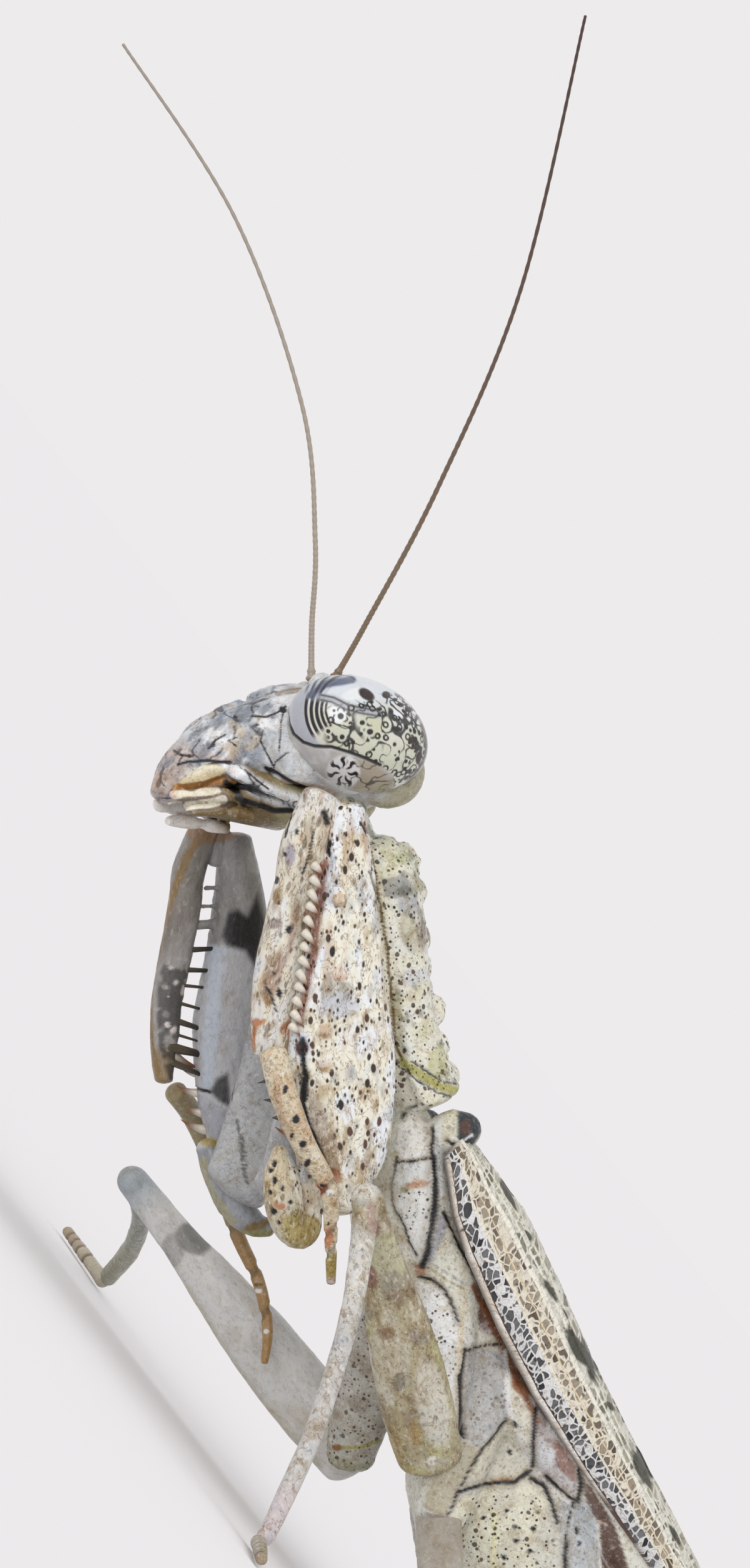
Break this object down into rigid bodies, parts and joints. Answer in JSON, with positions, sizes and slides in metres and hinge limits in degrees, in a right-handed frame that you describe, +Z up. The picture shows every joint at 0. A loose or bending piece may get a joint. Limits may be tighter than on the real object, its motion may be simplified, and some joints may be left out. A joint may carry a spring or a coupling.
{
  "type": "bark mantis figure",
  "caption": "Standing bark mantis with folded spined forelegs, large patterned eyes, rough back shield and flat veined wings.",
  "frame": {"origin": "on the floor, under the middle of the bounding box", "axes": "+Z up; the animal faces -X and its left side is towards -Y"},
  "size_m": [0.0474, 0.0302, 0.0304],
  "materials": {
    "body_cuticle": "dull, speckled cream and grey",
    "foreleg_cuticle": "dull, speckled cream",
    "leg_cuticle": "dull, mottled grey and olive",
    "wing": "leathery, veined",
    "eye": "glossy, patterned",
    "mouthparts": "satin, cream and orange-brown",
    "antenna": "dull",
    "foot": "dull, banded"
  },
  "bodies": {
    "root": {"head": "body_cuticle", "mouthparts": "mouthparts", "eye_left": "eye", "eye_right": "eye", "antenna_left": "antenna", "antenna_right": "antenna", "neck": "body_cuticle", "prothorax": "body_cuticle", "pterothorax": "body_cuticle", "abdomen": "body_cuticle", "tegmen_left": "wing", "tegmen_right": "wing", "fore_coxa_left": "foreleg_cuticle", "fore_femur_left": "foreleg_cuticle", "fore_tibia_left": "foreleg_cuticle", "fore_tarsus_left": "foot", "fore_coxa_right": "foreleg_cuticle", "fore_femur_right": "foreleg_cuticle", "fore_tibia_right": "foreleg_cuticle", "fore_tarsus_right": "foot", "mid_coxa_left": "leg_cuticle", "mid_femur_left": "leg_cuticle", "mid_tibia_left": "leg_cuticle", "mid_tarsus_left": "foot", "mid_coxa_right": "leg_cuticle", "mid_femur_right": "leg_cuticle", "mid_tibia_right": "leg_cuticle", "mid_tarsus_right": "foot", "hind_coxa_left": "leg_cuticle", "hind_femur_left": "leg_cuticle", "hind_tibia_left": "leg_cuticle", "hind_tarsus_left": "foot", "hind_coxa_right": "leg_cuticle", "hind_femur_right": "leg_cuticle", "hind_tibia_right": "leg_cuticle", "hind_tarsus_right": "foot"}
  },
  "joints": []
}
